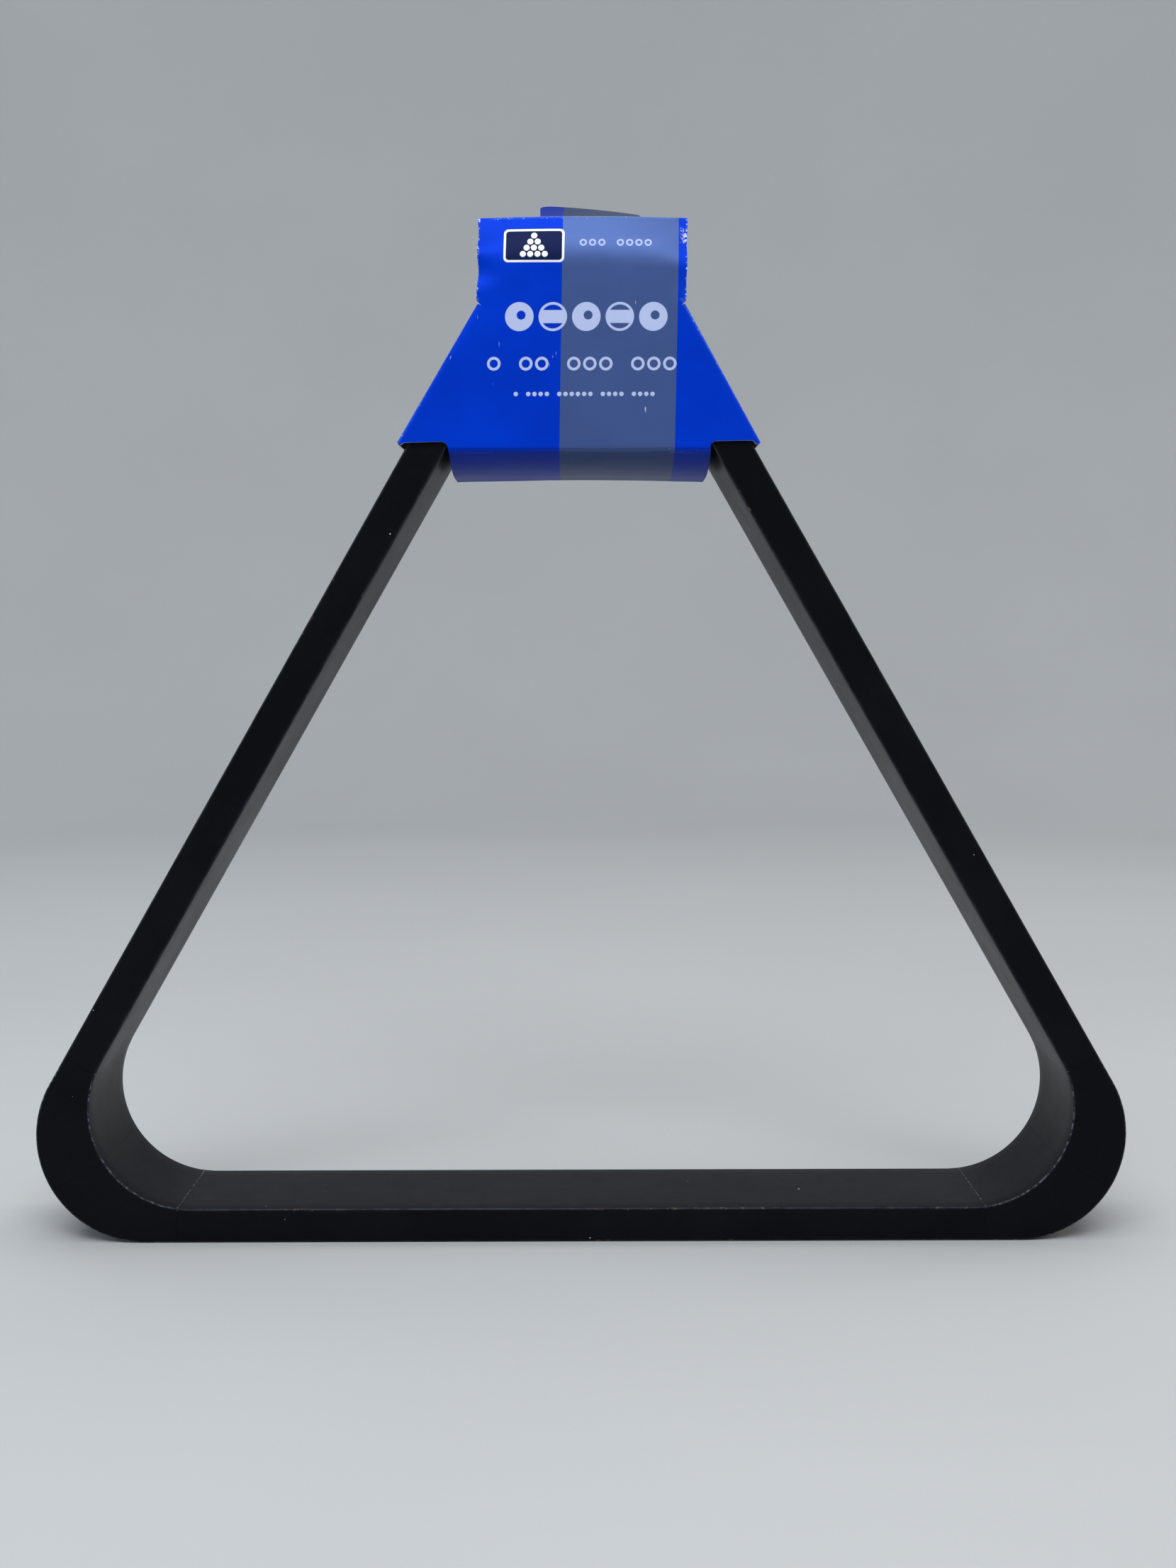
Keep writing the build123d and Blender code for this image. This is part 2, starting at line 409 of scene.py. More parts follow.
def bare_wood(name, tone, along):
    """Bare turned or sawn wood for the hidden joinery, with its grain along one direction."""
    shader = Shader(name)
    here = shader.place()
    turned = shader.turned(here, along)
    fibres = shader.noise(shader.vector("MULTIPLY", turned, (0.06, 1.0, 1.0)), 1.8, 4.0, 0.65)
    flecks = shader.noise(shader.vector("MULTIPLY", turned, (0.3, 2.0, 2.0)), 2.2, 2.0).ramp(0.58, 0.66)
    base = shader.mix(fibres.ramp(0.3, 0.7), tinted(tone, 0.62), tone)
    base = shader.mix(flecks * 0.5, base, tinted(tone, 0.4))
    normal = shader.bump(fibres - flecks * 0.4, 0.06)
    return shader.finish(Base_Color=base, Roughness=fibres * 0.2 + 0.55, Normal=normal)


def bar(x, z, left, right, low, high):
    """1 inside an upright rectangle of the print, with a soft edge."""
    side = (right - left) / 2 - abs(x - (left + right) / 2)
    rise = (high - low) / 2 - abs(z - (low + high) / 2)
    return side.min(rise).ramp(-0.08, 0.08)


def round_bar(x, z, left, right, low, high, radius):
    """1 inside a rectangle with round corners."""
    past = (abs(x - (left + right) / 2) - ((right - left) / 2 - radius)).max(0)
    over = (abs(z - (low + high) / 2) - ((high - low) / 2 - radius)).max(0)
    return (radius - (past * past + over * over).root()).ramp(-0.08, 0.08)


def disc(x, z, across, height, radius):
    """1 inside a circle of the print."""
    side = x - across
    rise = z - height
    return (radius - (side * side + rise * rise).root()).ramp(-0.08, 0.08)


# The print, in millimetres from the middle of the sleeve and above the floor
BAND = (-5.4, 27.2)
PRINT_TILT = 0.019
BADGE = (-21.9, -4.9, 281.4, 291.0)
TITLE_FIRST, TITLE_HEIGHT = -17.2, 266.4
TITLE_STEP, TITLE_RADIUS = 9.4, 4.0

# Rows of beads: first bead, height, step, radius, ring width or 0 when filled, (first, last) of groups
BEAD_ROWS = (
    (0.4, 287.0, 2.6, 1.0, 0.46, ((0, 2), (4, 7))),
    (-24.2, 253.4, 4.5, 1.9, 0.75, ((0, 0), (2, 3), (5, 7), (9, 11))),
    (-17.9, 245.0, 1.75, 0.62, 0.0, ((0, 0), (2, 5), (7, 12), (14, 17), (19, 22))),
)


def beads(x, z, first, height, step, radius, ring, groups):
    """A row of small discs or rings in groups, all on one even spacing."""
    side = (x - first).wrap(-step / 2, step / 2)
    rise = z - height
    far = (side * side + rise * rise).root()
    bead = (radius - far).ramp(-0.07, 0.07)
    if ring:
        bead = bead * (far - (radius - ring)).ramp(-0.07, 0.07)
    shown = None
    for start, end in groups:
        left, right = first + (start - 0.5) * step, first + (end + 0.5) * step
        group = bar(x, z, left, right, height - 3, height + 3)
        shown = group if shown is None else shown.max(group)
    return bead * shown


def printed_marks(x, z):
    """Generic marks in place of lettering: rows of beads and a row of solid and striped balls."""
    marks = beads(x, z, *BEAD_ROWS[0])
    for row in BEAD_ROWS[1:]:
        marks = marks.max(beads(x, z, *row))
    for index in range(5):
        across = TITLE_FIRST + index * TITLE_STEP
        ball = disc(x, z, across, TITLE_HEIGHT, TITLE_RADIUS)
        if index % 2:
            stripe = bar(x, z, across - 5, across + 5, TITLE_HEIGHT - 1.8, TITLE_HEIGHT + 1.8)
            inside_rim = disc(x, z, across, TITLE_HEIGHT, TITLE_RADIUS - 0.7)
            ball = ball * (1 - inside_rim * (1 - stripe))
        else:
            ball = ball * (1 - disc(x, z, across + 0.5, TITLE_HEIGHT + 0.4, 1.25))
        marks = marks.max(ball)
    return marks


def printed_badge(shader, x, z, base, card):
    """A rounded badge with a pale rim and a small triangle of racked balls."""
    left, right, low, high = BADGE
    base = shader.mix(round_bar(x, z, left, right, low, high, 1.3), base, BADGE_PALE)
    field = round_bar(x, z, left + 0.6, right - 0.6, low + 0.6, high - 0.6, 0.9)
    base = shader.mix(field, base, tuple(card.badge))
    middle = (left + right) / 2
    for row in range(4):
        for place in range(row + 1):
            across = middle + (place - row / 2) * 2.05
            height = high - 1.95 - row * 1.78
            dot = disc(x, z, across, height, 0.84)
            base = shader.mix(dot, base, BADGE_PALE)
    return base


def printed_card(name, card, wood, shade):
    """Coated card: blue with a grey band and pale marks, scuffed along its folds and edges, with painted
    highlights along its folds and painted shade under the strip's crease; a shade under 1 darkens the
    whole print as painted shade.
    """
    shader = Shader(name)
    here = shader.place()
    raw_x, y, z = shader.xyz(here)
    x = raw_x - (z - 252) * PRINT_TILT
    band = bar(x, z, *BAND, 0, 2 * APEX_HEIGHT)
    mottle = shader.noise(here, 0.05, 3.0)
    grainy = shader.noise(here, 3.5, 2.0)
    blue = tinted(card.blue, shade)
    grey = tinted(card.grey, shade)
    uneven = mottle.ramp(0.3, 0.7)
    base = shader.mix(uneven, tinted(blue, 0.86), blue)
    base = shader.mix(band, base, shader.mix(uneven, tinted(grey, 0.93), grey))
    # Painted shade: the strip just under its crease is printed darker, where shade falls
    painted_shade_under_crease = (z < STRIP_UNDERSIDE + 5.6) * (1 - (z - STRIP_UNDERSIDE).ramp(4.2, 6.2) * 0.4)
    base = shader.mix(painted_shade_under_crease * 0.55, base, tinted(card.grey, 0.12))

    front = y < SLEEVE_FRONT + 9
    marks = printed_marks(x, z) * front
    base = shader.mix(marks, base, tuple(card.ink))
    badged = printed_badge(shader, x, z, base, card)
    base = shader.mix(front, base, badged)

    fold = slant_distance(abs(raw_x), z, wood)
    top_edge = SLEEVE_TOP - z
    scuff_noise = shader.noise(here, 1.1, 4.0, 0.75)
    broad = shader.noise(here, 0.09, 2.0)
    straight = raw_x - (z - SKEW_HEIGHT) * card.skew
    side_edge = card.header_width / 2 - abs(straight) + (z < 270.5) * 100
    right_top = (raw_x > 27) * (z > 287) * (y < SLEEVE_FRONT + 4)
    below_header = z < 271.5
    on_front = y < SLEEVE_FRONT + 3
    near_fold = (1 - abs(fold - card.front_stand_off).ramp(0.1, 0.7)) * on_front * below_header
    near_top = (1 - top_edge.ramp(0.1, 0.9)) * (y < SLEEVE_FRONT + 5)
    near_side = 1 - side_edge.ramp(0.05, 0.35)
    scuff = near_top * scuff_noise.ramp(0.60, 0.68)
    scuff = scuff.max(near_fold * scuff_noise.ramp(0.60, 0.68))
    scuff = scuff.max(near_side * scuff_noise.ramp(0.55, 0.62))
    scuff = scuff.max(right_top * (1 - side_edge.ramp(0.2, 2.2)) * scuff_noise.ramp(0.50, 0.56) * 0.85)
    hair = shader.noise(shader.vector("MULTIPLY", here, (0.5, 1.0, 0.09)), 1.9, 2.0).ramp(0.735, 0.76)
    scuff = scuff.max(hair * broad.ramp(0.5, 0.65) * 0.6)
    # Painted highlight: brighter blue along the front folds and the top edge
    painted_shading = near_fold.max(near_top) * 0.2
    base = shader.mix(painted_shading, base, PAINTED_FOLD_HIGHLIGHT)
    base = shader.mix(scuff, base, SCUFFED_CARD)
    rough = mottle * 0.10 + 0.32 + scuff * 0.35 - marks * 0.04
    silver = (band * 0.2 + 0.15) * (1 - marks) * (1 - scuff)
    height = grainy * 0.12 + mottle * 0.5 + marks * 0.25 - scuff * 0.5
    return shader.finish(
        Base_Color=base,
        Roughness=rough,
        Metallic=silver,
        Normal=shader.bump(height, 0.03),
        Specular_IOR_Level=0.03,
    )


def card_board(name, tone):
    """Unprinted board: a dull pale face with short fibres."""
    shader = Shader(name)
    here = shader.place()
    fibres = shader.noise(shader.vector("MULTIPLY", here, (1.0, 1.0, 0.35)), 2.6, 4.0, 0.7)
    flecks = shader.spots(here, 0.8).ramp(0.0, 0.12)
    base = shader.mix(fibres.ramp(0.3, 0.7), tinted(tone, 0.82), tone)
    base = shader.mix((1 - flecks) * 0.35, base, tinted(tone, 0.55))
    return shader.finish(Base_Color=base, Roughness=0.85, Normal=shader.bump(fibres, 0.05))


# --- Wooden pieces ------------------------------------------------------------------------------


def inner_inradius(wood):
    """Distance from the rack's centre to each ball face."""
    rows = 5
    return (rows - 1) * wood.ball_diameter / (2 * math.sqrt(3)) + wood.ball_diameter / 2 + wood.ball_play


def outer_inradius(wood):
    """Distance from the rack's centre to the outside of each rail."""
    return inner_inradius(wood) + wood.rail_thickness


def inner_radius(wood):
    """Radius of the inner corners."""
    return wood.ball_diameter / 2 + wood.corner_play


def rack_centre(wood):
    """Height of the rack's centre over the floor."""
    return outer_inradius(wood)


def side_point(origin, direction, inradius, corner_radius):
    """Where a ray meets the outline of a rounded triangle, beside its lower side.

    Points are (along the side, out from the centre)."""
    tangent = (inradius - corner_radius) * math.sqrt(3)
    reach = (inradius - origin.y) / direction.y
    met = origin + direction * reach
    if abs(met.x) <= tangent:
        return met
    centre = Vector((math.copysign(tangent, met.x), inradius - corner_radius))
    start = origin - centre
    half = start.dot(direction)
    return origin + direction * (math.sqrt(half**2 - start.length_squared + corner_radius**2) - half)


def section(inner, outer, depth, ease, inset):
    """Points round a bar's section, from its inner to its outer face, with eased edges."""
    across = outer - inner
    width = across.length
    direction = across / width
    arc_steps, face_steps = 5, 8
    half_width = width / 2 - inset
    half_depth = depth / 2 - inset
    middle = (inner + outer) / 2
    round_radius = max(ease - inset, 0.2)
    points = []
    for sign_a, sign_y, start in ((1, 1, 0), (-1, 1, 90), (-1, -1, 180), (1, -1, 270)):
        centre_a = sign_a * (half_width - round_radius)
        centre_y = sign_y * (half_depth - round_radius)
        for step in range(arc_steps + 1):
            turn = math.radians(start + 90 * step / arc_steps)
            points.append(
                (centre_a + round_radius * math.cos(turn), centre_y + round_radius * math.sin(turn))
            )
        if start in (90, 270):
            for step in range(1, face_steps):
                y = centre_y * (1 - 2 * step / face_steps)
                points.append((points[-1][0], y))
    return [(middle + direction * a, y) for a, y in points]


def stood(point, y, angle, wood):
    """A point beside the lower side, turned to its own side and stood on the floor, in metres."""
    flat = Vector((point.x, y, -point.y))
    turned = Matrix.Rotation(math.radians(angle), 3, "Y") @ flat
    return (turned + Vector((0, 0, rack_centre(wood)))) * MM


def skin(name, rings, material):
    """A closed mesh over rings of points, with flat ends."""
    count = len(rings[0])
    vertices = [point for ring in rings for point in ring]
    faces = []
    for ring in range(len(rings) - 1):
        low = ring * count
        for k in range(count):
            after = (k + 1) % count
            faces.append((low + k, low + after, low + count + after, low + count + k))
    faces.append(tuple(reversed(range(count))))
    last = (len(rings) - 1) * count
    faces.append(tuple(range(last, last + count)))
    return solid(name, vertices, faces, [material])


def solid(name, vertices, faces, materials):
    """A smooth-shaded object from points in metres, with its normals outwards."""
    sharp_over = 38  # degrees between two faces
    mesh = bpy.data.meshes.new(name)
    mesh.from_pydata([tuple(v) for v in vertices], [], faces)
    mesh.validate()
    made = bpy.data.objects.new(name, mesh)
    bpy.context.collection.objects.link(made)
    for material in materials:
        mesh.materials.append(material)
    bpy.ops.object.select_all(action="DESELECT")
    made.select_set(True)
    bpy.context.view_layer.objects.active = made
    bpy.ops.object.mode_set(mode="EDIT")
    bpy.ops.mesh.select_all(action="SELECT")
    bpy.ops.mesh.normals_make_consistent(inside=False)
    bpy.ops.object.mode_set(mode="OBJECT")
    mesh.shade_smooth()
    mesh.set_sharp_from_angle(angle=math.radians(sharp_over))
    return made


def bar_rings(rays, angle, wood):
    """Section rings along a run of rays, drawn in a little at both ends for the glued seams."""
    rings = []
    for index, (origin, direction) in enumerate(rays):
        inner = side_point(origin, direction, inner_inradius(wood), inner_radius(wood))
        outer = side_point(origin, direction, outer_inradius(wood), wood.outer_radius)
        inset = wood.seam if index in (0, len(rays) - 1) else 0
        points = section(inner, outer, RACK_DEPTH, wood.edge_ease, inset)
        rings.append([stood(point, y, angle, wood) for point, y in points])
    return rings


def spaced(start, end, step, lip):
    """Places from start to end, about a step apart, with one close to each end."""
    count = max(2, round((end - start) / step))
    inner = [start + (end - start) * k / count for k in range(1, count)]
    return [start, start + lip, *inner, end - lip, end]


def dress(piece, node):
    """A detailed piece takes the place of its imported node."""
    bodies = frame["record"]["behaviour"]["bodies"]
    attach(piece, next(body for body, nodes in bodies.items() if node in nodes))
    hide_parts(node)


def make_rail(side, wood, material):
    """One straight rail between its two butt joints."""
    half = RAIL_LENGTH / 2
    places = spaced(-half, half, 3.0, wood.seam)
    rays = [(Vector((s, 0)), Vector((0, 1))) for s in places]
    rail = skin(f"painted_rail_{side}", bar_rings(rays, SIDES[side], wood), material)
    dress(rail, f"rail_{side}")


def make_corner_half(name, wood, material):
    """Half of a round corner block, from a rail's butt joint to the mitre."""
    side, end = CORNER_HALVES[name]
    pivot = Vector((end * RAIL_LENGTH / 2, RAIL_LENGTH / 2 / math.sqrt(3)))
    reach = 60  # from the pivot to the block, roughly
    lip = math.degrees(wood.seam / reach)
    turns = spaced(0, 60, 1.5, lip)
    rays = []
    for turn in turns:
        lean = math.radians(turn)
        rays.append((pivot, Vector((end * math.sin(lean), math.cos(lean)))))
    block = skin(f"painted_corner_{name}", bar_rings(rays, SIDES[side], wood), material)
    dress(block, f"corner_{name}")


# --- Card pieces --------------------------------------------------------------------------------


class Route:
    """Straight runs joined by arcs in a plane, measured along their length."""

    def __init__(self, corners, radii):
        points = [Vector(c) for c in corners]
        self.runs = []
        self.bends = []
        self.length = 0.0
        here = points[0]
        for before, corner, after, radius in zip(points, points[1:], points[2:], radii):
            into = (corner - before).normalized()
            out = (after - corner).normalized()
            turn = into.angle_signed(out)
            trim = radius * math.tan(abs(turn) / 2)
            self.straight(here, corner - into * trim)
            start = self.length
            self.arc(corner - into * trim, into, -turn, radius)
            self.bends.append((start, self.length))
            here = corner + out * trim
        self.straight(here, points[-1])

    def straight(self, start, end):
        run = end - start
        self.runs.append((self.length, start, run.normalized(), 0.0, 0.0))
        self.length += run.length

    def arc(self, start, direction, turn, radius):
        self.runs.append((self.length, start, direction, turn, radius))
        self.length += abs(turn) * radius

    def at(self, distance):
        """The point and the direction at a distance along the route."""
        run = next((r for r in reversed(self.runs) if r[0] <= distance), self.runs[0])
        begun, start, direction, turn, radius = run
        past = distance - begun
        if not radius:
            return start + direction * past, direction
        side = math.copysign(1, turn)
        left = Vector((-direction.y, direction.x)) * side
        angle = past / radius
        point = start + direction * (radius * math.sin(angle)) + left * (radius * (1 - math.cos(angle)))
        return point, direction * math.cos(angle) + left * math.sin(angle)

    def stops(self, step, fine):
        """Distances along the route, close together in its bends."""
        marks = [0.0]
        edges = [0.0] + [d for bend in self.bends for d in bend] + [self.length]
        for index, (low, high) in enumerate(zip(edges, edges[1:])):
            size = fine if index % 2 else step
            count = max(1, math.ceil((high - low) / size))
            marks += [low + (high - low) * (k + 1) / count for k in range(count)]
        return marks


def slant_distance(across, height, wood):
    """How far outside the rails' outer faces a place in the plane of the rack is."""
    out = (height - rack_centre(wood)) * math.sin(LEAN) - outer_inradius(wood)
    return across * math.cos(LEAN) + out


class Blank:
    """The flat die-cut sheet of the sleeve, and how it folds."""

    def __init__(self, card, wood):
        self.card, self.wood = card, wood
        t = card.thickness
        apex = APEX_HEIGHT + APEX_GAP
        back, front = SLEEVE_BACK - WAVE_ROOM, SLEEVE_FRONT + WAVE_ROOM
        tail = back - t - GLUE
        self.shoulder = APEX_HEIGHT - card.shoulder_drop
        self.loop = Route(
            [
                (back, self.shoulder),
                (back, apex),
                (back - card.top_setback, SLEEVE_TOP),
                (front + card.top_setback, SLEEVE_TOP),
                (front, apex),
                (front, STRIP_UNDERSIDE + CREASE_RISE),
                (front + 8.4, STRIP_UNDERSIDE + 1.7),
                (0, STRIP_UNDERSIDE + 0.1),
                (tail, STRIP_UNDERSIDE),
                (tail, self.shoulder + 15),
            ],
            [30.0, 0.8, 0.8, 30.0, 0.9, 40.0, 60.0, 5.0],
        )
        self.strip_crease = sum(self.loop.bends[4]) / 2
        self.front_start = self.loop.bends[3][1]
        self.front_top = self.loop.at(self.front_start)[0].y
        self.front_fold = sum(self.loop.bends[2]) / 2
        self.back_fold = sum(self.loop.bends[1]) / 2
        run_up = 20.0
        self.flap_route = Route(
            [
                (card.front_stand_off - run_up, front),
                (card.front_stand_off, front),
                (card.back_stand_off, tail),
                (card.back_stand_off - card.lap, tail),
            ],
            [1.7, 0.7],
        )
        self.flap_start = self.flap_route.bends[0][0]
        self.fold_line = card.front_stand_off - run_up + self.flap_start
        self.flap_width = self.flap_route.length - self.flap_start
        tip = rack_centre(wood) + 2 * (outer_inradius(wood) + card.front_stand_off)
        self.corner_height = tip - card.header_width / 2 * math.sqrt(3)
        self.flap_top = self.slant_place(card.header_width / 2, self.corner_height)[0]
        foot = self.out_at_shoulder()
        self.flap_foot = self.slant_place(foot, self.shoulder)[0] - 0.9

    def out_at_shoulder(self):
        """Half width of the front panel at the shoulders, to where its fold begins."""
        rise = (self.shoulder - rack_centre(self.wood)) * math.sin(LEAN)
        return (outer_inradius(self.wood) + self.fold_line - rise) / math.cos(LEAN)

    def slant_place(self, across, height):
        """A place on the front panel as (distance up along the rail, distance past the fold line)."""
        up = (height - rack_centre(self.wood)) * math.cos(LEAN) - across * math.sin(LEAN)
        return up, slant_distance(across, height, self.wood) - self.fold_line

    def from_slant(self, up, past):
        """The flat place (across, along) for a place given along the rail and past the fold line."""
        out = outer_inradius(self.wood) + self.fold_line + past
        across = out * math.cos(LEAN) - up * math.sin(LEAN)
        height = rack_centre(self.wood) + out * math.sin(LEAN) + up * math.cos(LEAN)
        return across, self.along(height)

    def along(self, height):
        """Distance along the loop of a height on the front panel."""
        return self.front_start + self.front_top - height

    def on_flap(self, across, along):
        """A place past the fold line, as (distance up along the rail, past the fold), or None."""
        height = self.front_top - (along - self.front_start)
        up, past = self.slant_place(abs(across), height)
        folded = past > 0 and up < self.flap_top + 0.05 and height > self.shoulder - 3
        return (up, past) if folded else None

    def half_outline(self):
        """The right half of the sheet's outline, from the back panel's foot to the strip's tail."""
        card, wood = self.card, self.wood
        half = card.header_width / 2
        strip = card.strip_width / 2
        slope = math.tan(LEAN)
        back_tip = rack_centre(wood) + 2 * (outer_inradius(wood) + card.back_stand_off - 0.1)
        back_corner = back_tip - half / slope - self.shoulder
        points = [((back_tip - self.shoulder) * slope, 0.0), (half, back_corner)]
        points += [(half, self.back_fold), (half, self.front_fold)]
        points += [(half + 0.15, self.along(self.corner_height + 0.6))]
        points += rounded(
            [
                self.from_slant(self.flap_top, 0.4),
                self.from_slant(self.flap_top - 0.8, self.flap_width),
                self.from_slant(self.flap_foot, self.flap_width),
                self.from_slant(self.flap_foot, 0.4),
            ],
            1.2,
        )
        shoulder = self.along(self.shoulder)
        points += [(self.out_at_shoulder() - 0.3, shoulder - 0.1)]
        points += [(strip + 1.8, shoulder)]
        for step in range(1, 6):
            turn = math.radians(90 * step / 6)
            points.append((strip + 1.8 * (1 - math.sin(turn)), shoulder + 1.8 * (1 - math.cos(turn))))
        points += [(strip, shoulder + 1.8), (strip, self.loop.length - 3), (strip - 3, self.loop.length)]
        return points

    def outline(self):
        right = self.half_outline()
        return right + [(-x, v) for x, v in reversed(right)]

    def inside_points(self, step):
        """Places for the sheet's inner vertices, in rows along its folds."""
        places = []
        reach = math.ceil(70 / step)
        for along in self.loop.stops(step, BEND_STEP):
            for index in range(-reach, reach + 1):
                across = index * step
                if not self.on_flap(abs(across) + 0.6 * step, along):
                    places.append((across, along))
        stops = [d - self.flap_start for d in self.flap_route.stops(step, BEND_STEP)]
        ups = math.floor((self.flap_top - self.flap_foot) / step)
        for past in (d for d in stops if d >= 0):
            for index in range(ups + 1):
                across, along = self.from_slant(self.flap_foot + (index + 0.4) * step, past)
                places += [(across, along), (-across, along)]
        return places

    def fold(self, across, along):
        """Where a place on the flat sheet lies once the sleeve is folded, in millimetres."""
        flap = self.on_flap(across, along)
        if flap:
            return self.fold_flap(math.copysign(1, across), *flap)
        wavy = math.exp(-(((along - self.strip_crease) / 7) ** 2))
        moved = along + 0.45 * math.sin(across * 0.085 + 0.9) * wavy
        point, direction = self.loop.at(min(max(moved, 0), self.loop.length))
        place = Vector((across, point.x, point.y))
        outward = Vector((0, direction.y, -direction.x))
        return skewed(place + outward * self.wave(place) + self.settle(place), self.card)

    def fold_flap(self, side, up, past):
        """Where a place on a side flap lies once it is folded round the rail."""
        (out, y), _ = self.flap_route.at(self.flap_start + past)
        across = (outer_inradius(self.wood) + out) * math.cos(LEAN) - up * math.sin(LEAN)
        rise = (outer_inradius(self.wood) + out) * math.sin(LEAN) + up * math.cos(LEAN)
        place = Vector((side * across, y, rack_centre(self.wood) + rise))
        calm = 1 - min(past / 12, 1)
        outward = Vector((0, -1, 0)) * self.wave(place) * calm
        return skewed(place + outward, self.card)

    def wave(self, place):
        """Soft waves in the card, which never press it into the wood."""
        coarse = noise.noise(place * 0.055 + Vector((3, 1, 7)))
        fine = noise.noise(place * 0.16 + Vector((9, 4, 2)))
        return self.card.waviness * (coarse + 0.35 * fine)

    def settle(self, place):
        """How the header curls back over the round apex, buckles at its edges, and the strip bows."""
        side = max(-1, min(1, place.x / (self.card.header_width / 2)))
        moved = Vector((0, 0, 0))
        low = APEX_HEIGHT - 14 * side**2
        header_corner = SLEEVE_TOP - 24
        depth = max(-1, min(1, place.y / (SLEEVE_FRONT + self.card.top_setback)))
        if place.z > low:
            share = min((place.z - low) / (SLEEVE_TOP - low), 1) ** 1.4
            moved.y += self.card.header_curl * side**2 * share * depth
        if place.z > header_corner:
            height = (place.z - header_corner) / (SLEEVE_TOP - header_corner)
            edge = max(0.0, abs(side) - 0.66) / 0.34
            hold = math.sin(math.pi * min(height, 1)) ** 0.7
            buckle = 0.5 + 0.5 * math.sin(place.z * 0.52 + (1.2 if side < 0 else 3.0))
            strength = 0.95 if side < 0 else 0.4
            moved.y += strength * buckle * edge**1.5 * hold * depth
            moved.x -= math.copysign(0.55 * strength * buckle * edge**2 * hold, side)
            moved.x += 0.3 * side * height
        if place.z < STRIP_UNDERSIDE + 5:
            share = 1 - (place.x / (self.card.strip_width / 2)) ** 2
            moved.z += 0.5 * share
        return moved


def skewed(place, card):
    """A place on the sleeve, slid sideways as its front leans, apart from the strip in the opening."""
    front = 0.5 + 0.5 * max(-1, min(1, place.y / SLEEVE_FRONT))
    over_strip = max(0, min(1, (place.z - STRIP_UNDERSIDE - 4.6) / 3.2))
    return place + Vector((card.skew * (place.z - SKEW_HEIGHT) * front * over_strip, 0, 0))


def rounded(points, radius):
    """An outline's points with its corners cut round, apart from the first and the last."""
    made = [points[0]]
    for before, corner, after in zip(points, points[1:], points[2:]):
        start, middle, end = Vector(before), Vector(corner), Vector(after)
        into = (middle - start).normalized()
        out = (end - middle).normalized()
        trim = min(radius, (middle - start).length / 2, (end - middle).length / 2)
        first, last = middle - into * trim, middle + out * trim
        for step in range(6):
            share = step / 5
            bend = first.lerp(middle, share).lerp(middle.lerp(last, share), share)
            made.append(tuple(bend))
    return made + [points[-1]]


def inside(point, outline):
    """Whether a point is inside a closed outline."""
    x, y = point
    found = False
    for (ax, ay), (bx, by) in zip(outline, outline[1:] + outline[:1]):
        if (ay > y) != (by > y) and x < (bx - ax) * (y - ay) / (by - ay) + ax:
            found = not found
    return found


def closest(point, outline):
    """Distance from a point to a closed outline."""
    p = Vector(point)
    best = 1e9
    for a, b in zip(outline, outline[1:] + outline[:1]):
        start, run = Vector(a), Vector(b) - Vector(a)
        share = max(0, min(1, (p - start).dot(run) / run.length_squared))
        best = min(best, (p - start - run * share).length)
    return best


def divided(outline, step):
    """An outline with points about a step apart."""
    made = []
    for a, b in zip(outline, outline[1:] + outline[:1]):
        count = max(1, math.ceil((Vector(b) - Vector(a)).length / step))
        made += [tuple(Vector(a).lerp(Vector(b), k / count)) for k in range(count)]
    return made


def folded_sheet(name, outline, places, fold, thickness, materials, hole=None):
    """A card piece cut from the flat sheet, folded, and given its thickness inwards."""
    rims = [divided(outline, 0.9)] + ([divided(hole, 0.7)] if hole else [])
    points, edges = [], []
    for rim in rims:
        first = len(points)
        points += rim
        edges += [(first + k, first + (k + 1) % len(rim)) for k in range(len(rim))]
    for place in places:
        if inside(place, outline) and closest(place, outline) > RIM_CLEAR:
            if not hole or (not inside(place, hole) and closest(place, hole) > RIM_CLEAR):
                points.append(place)
    found = delaunay_2d_cdt([Vector(p) for p in points], edges, [], 1, 1e-5)
    flat, triangles = found[0], found[2]
    if hole:
        middle = [sum((flat[k] for k in t), Vector((0, 0))) / 3 for t in triangles]
        triangles = [t for t, m in zip(triangles, middle) if not inside(m, hole)]
    vertices = [fold(p.x, p.y) * MM for p in flat]
    sheet = solid(name, vertices, triangles, materials)
    face_outwards(sheet)
    modifier = sheet.modifiers.new("thickness", "SOLIDIFY")
    modifier.thickness = thickness * MM
    modifier.offset = -1
    modifier.use_even_offset = True
    modifier.material_offset = 1
    modifier.material_offset_rim = 2
    bpy.context.view_layer.objects.active = sheet
    bpy.ops.object.modifier_apply(modifier=modifier.name)
    sheet.data.shade_smooth()
    sheet.data.set_sharp_from_angle(angle=math.radians(50))
    return sheet


def face_outwards(sheet):
    """Turns the sheet's faces so that its printed side looks away from the rack's apex."""
    mesh = sheet.data
    facing = 0.0
    centre = Vector((0, 0, APEX_HEIGHT - 10)) * MM
    for face in mesh.polygons:
        facing += (face.center - centre).dot(face.normal) * face.area
    if facing < 0:
        mesh.flip_normals()


def tongue_outline(card, grow=0.0):
    """Outline of the tongue: across from its left edge, and out from its crease."""
    left, right = TONGUE_LEFT - grow, TONGUE_RIGHT + grow
    start = WINDOW_GAP - grow
    end = card.tongue_length + grow
    points = [(left, start), (left, end), (right, end), (right, start)]
    return rounded(points, 4.5 + grow)


